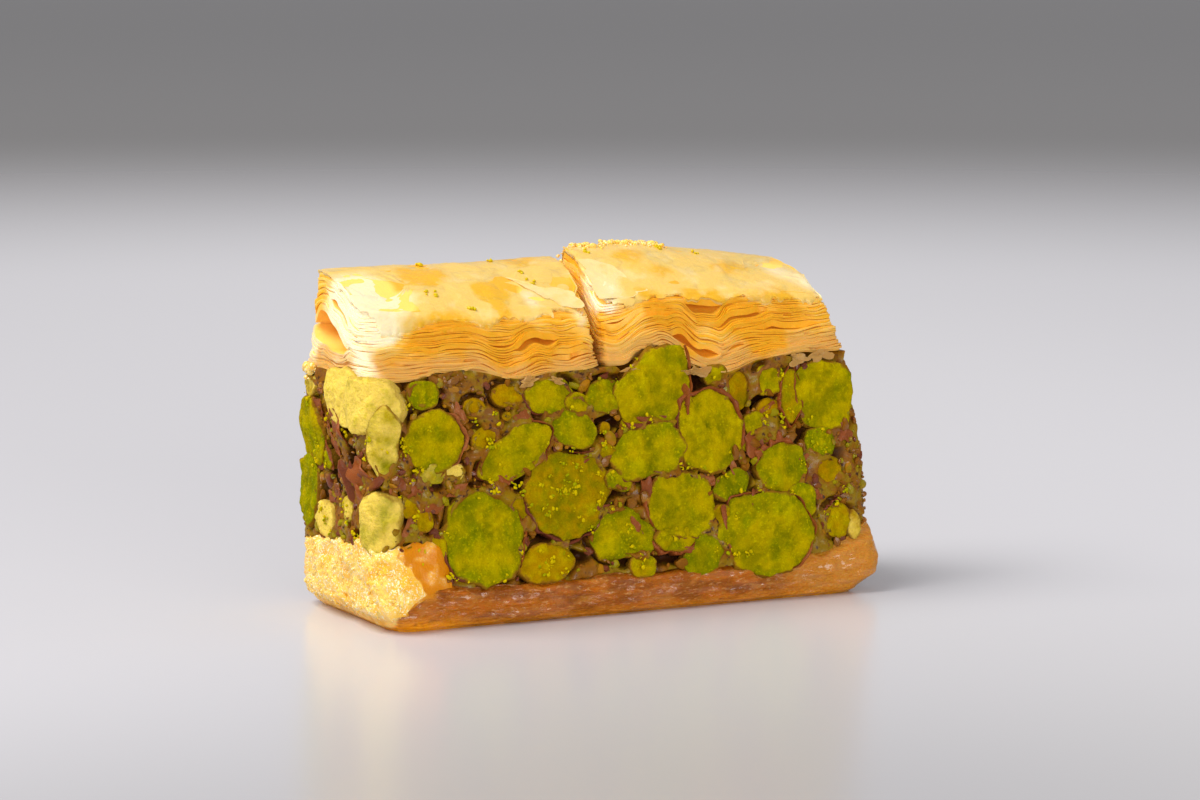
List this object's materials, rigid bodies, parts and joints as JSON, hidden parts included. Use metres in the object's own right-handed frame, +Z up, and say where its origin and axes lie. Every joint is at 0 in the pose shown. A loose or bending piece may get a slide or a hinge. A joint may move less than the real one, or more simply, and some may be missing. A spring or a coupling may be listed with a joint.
{
  "type": "baklava piece",
  "caption": "Small rectangular baklava piece standing upright: soaked pastry base, tall pistachio filling cut through, flaky golden pastry top split by a knife cut.",
  "frame": {"origin": "middle of the underside that the piece stands on", "axes": "+X along the piece's length towards the right-hand half of the top crust, +Y towards the back, +Z up"},
  "size_m": [0.0476, 0.0188, 0.0298],
  "materials": {
    "soaked_crust": "syrup-soaked pastry, dense, amber and glossy, slightly translucent",
    "pistachio_filling": "chopped pistachio kernels, green and yellow-green flesh with purplish brown skin, moist",
    "flaky_crust": "thin baked pastry leaves brushed with butter and syrup, golden, glossy on top, pale at the edges"
  },
  "bodies": {
    "root": {"bottom_crust": "soaked_crust", "pistachio_filling": "pistachio_filling", "top_crust_left": "flaky_crust", "top_crust_right": "flaky_crust"}
  },
  "joints": []
}
